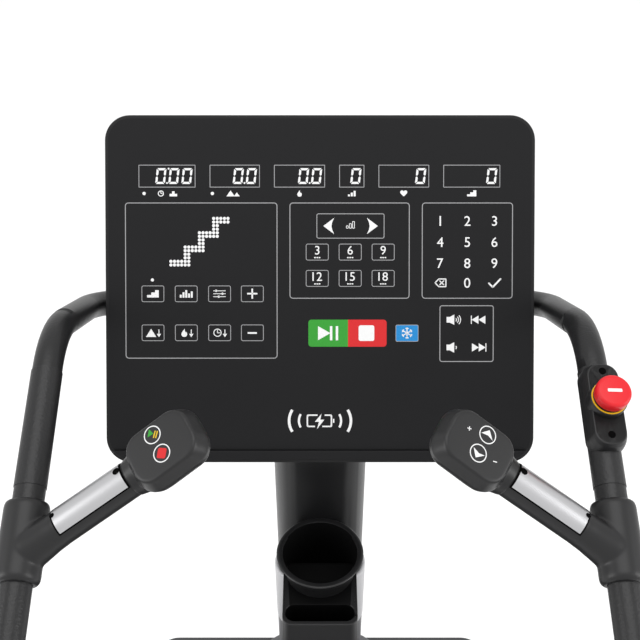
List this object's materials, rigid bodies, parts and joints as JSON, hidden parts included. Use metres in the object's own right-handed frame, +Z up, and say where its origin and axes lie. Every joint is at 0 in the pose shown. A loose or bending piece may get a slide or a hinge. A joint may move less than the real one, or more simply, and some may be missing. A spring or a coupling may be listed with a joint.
{
  "type": "stair climber",
  "caption": "Revolving stair climber with a console on an oval mast, sloping handrails with pulse grips, a cup holder and covered step drive.",
  "frame": {"origin": "middle of the footprint on the floor", "axes": "+Z up, +Y towards the console end, +X to the user's right"},
  "size_m": [0.72, 1.472, 2.0179],
  "materials": {
    "frame_steel": "satin",
    "powder_coat": "fine textured powder coat",
    "collar_grey": "matte",
    "sleeve_silver": "satin",
    "cover_plastic": "matte",
    "machined_steel": "machined",
    "cast_aluminium": "cast",
    "belt_rubber": "matte",
    "console_plastic": "fine satin",
    "overlay_film": "satin film",
    "circuit_board": "satin",
    "black_plastic": "satin",
    "pulse_steel": "brushed",
    "grip_rubber": "fine grain",
    "ring_yellow": "gloss",
    "cap_red": "satin gloss",
    "stem_metal": "satin",
    "foot_rubber": "matte",
    "wheel_plastic": "matte",
    "drive_steel": "oiled",
    "tread_plastic": "ribbed",
    "riser_metal": "satin"
  },
  "bodies": {
    "frame": {"base_left": "frame_steel", "base_right": "frame_steel", "cross_front": "frame_steel", "cross_rear": "frame_steel", "mast": "powder_coat", "mast_collar": "collar_grey", "mast_sleeve": "sleeve_silver", "hood": "cover_plastic", "front_cover": "cover_plastic", "side_cover_left": "cover_plastic", "side_cover_right": "cover_plastic", "skirt_left": "cover_plastic", "skirt_right": "cover_plastic", "rear_cover": "cover_plastic", "guide_rails": "machined_steel", "upper_bearings": "machined_steel", "lower_bearings": "machined_steel", "alternator_case": "cast_aluminium", "belt": "belt_rubber", "console_rear": "console_plastic", "console_front": "console_plastic", "overlay": "overlay_film", "console_ledge": "console_plastic", "display_board": "circuit_board", "console_bracket": "frame_steel", "rail_left": "powder_coat", "rail_right": "powder_coat", "rail_clamp": "frame_steel", "joint_cover_left": "black_plastic", "joint_cover_right": "black_plastic", "handle_left": "black_plastic", "handle_right": "black_plastic", "pulse_plate_left": "pulse_steel", "pulse_plate_right": "pulse_steel", "pod_left": "black_plastic", "pod_right": "black_plastic", "grip_left": "grip_rubber", "grip_right": "grip_rubber", "estop_housing": "black_plastic", "estop_ring": "ring_yellow", "cup_holder": "black_plastic", "power_inlet": "black_plastic", "front_feet": "foot_rubber"},
    "estop_stem": {"estop_stem": "stem_metal"},
    "estop_cap": {"estop_cap": "cap_red"},
    "drive": {"drive_shaft": "drive_steel", "drive_pulley": "drive_steel"},
    "idler": {"idler_shaft": "drive_steel"},
    "alternator_rotor": {"alternator_rotor": "drive_steel"},
    "climbing_run": {"treads": "tread_plastic", "risers": "riser_metal", "step_axles": "drive_steel", "chain_upper": "drive_steel"},
    "return_run": {"return_steps": "tread_plastic", "chain_return": "drive_steel"},
    "wheel_left": {"wheel_left": "wheel_plastic"},
    "wheel_right": {"wheel_right": "wheel_plastic"},
    "foot_left": {"foot_left": "foot_rubber"},
    "foot_right": {"foot_right": "foot_rubber"}
  },
  "joints": [
    {"name": "stair_run", "type": "slide", "parent": "frame", "child": "climbing_run", "axis": [0, 0.7666, 0.6421], "range_m": [-0.15653, 0]},
    {"name": "return_slide", "type": "slide", "parent": "frame", "child": "return_run", "axis": [0, 0.7666, 0.6421], "range_m": [-0.001, 0.15753]},
    {"name": "drive_turn", "type": "hinge", "parent": "frame", "child": "drive", "pos_m": [0, 0.34198, 0.73761], "axis": [1, 0, 0], "range_deg": [-1, 91]},
    {"name": "idler_turn", "type": "hinge", "parent": "frame", "child": "idler", "pos_m": [0, -0.37802, 0.13461], "axis": [1, 0, 0], "range_deg": [-1, 91]},
    {"name": "alternator_turn", "type": "hinge", "parent": "frame", "child": "alternator_rotor", "pos_m": [0, 0.44, 0.3], "axis": [1, 0, 0], "range_deg": [-2, 332]},
    {"name": "estop_press", "type": "slide", "parent": "frame", "child": "estop_stem", "axis": [-0.0599, 0.3298, -0.9422], "range_m": [0, 0.004], "stiffness_N_per_m": 900},
    {"name": "estop_twist", "type": "hinge", "parent": "estop_stem", "child": "estop_cap", "pos_m": [0.2845, 0.34, 1.88305], "axis": [0.0599, -0.3298, 0.9422], "range_deg": [0, 45], "stiffness_Nm_per_rad": 0.05},
    {"name": "wheel_left_turn", "type": "hinge", "parent": "frame", "child": "wheel_left", "pos_m": [-0.25, 0.698, 0.04], "axis": [1, 0, 0], "continuous": true},
    {"name": "wheel_right_turn", "type": "hinge", "parent": "frame", "child": "wheel_right", "pos_m": [0.25, 0.698, 0.04], "axis": [1, 0, 0], "continuous": true},
    {"name": "foot_left_turn", "type": "hinge", "parent": "frame", "child": "foot_left", "pos_m": [-0.291, -0.64, 0.02], "axis": [0, 0, 1], "continuous": true},
    {"name": "foot_right_turn", "type": "hinge", "parent": "frame", "child": "foot_right", "pos_m": [0.291, -0.64, 0.02], "axis": [0, 0, 1], "continuous": true}
  ],
  "couplings": [
    {"joint": "return_slide", "follows": "stair_run", "ratio": -1},
    {"joint": "drive_turn", "follows": "stair_run", "rad_per_m": -10.035},
    {"joint": "idler_turn", "follows": "stair_run", "rad_per_m": -10.035},
    {"joint": "alternator_turn", "follows": "stair_run", "rad_per_m": -36.796}
  ]
}
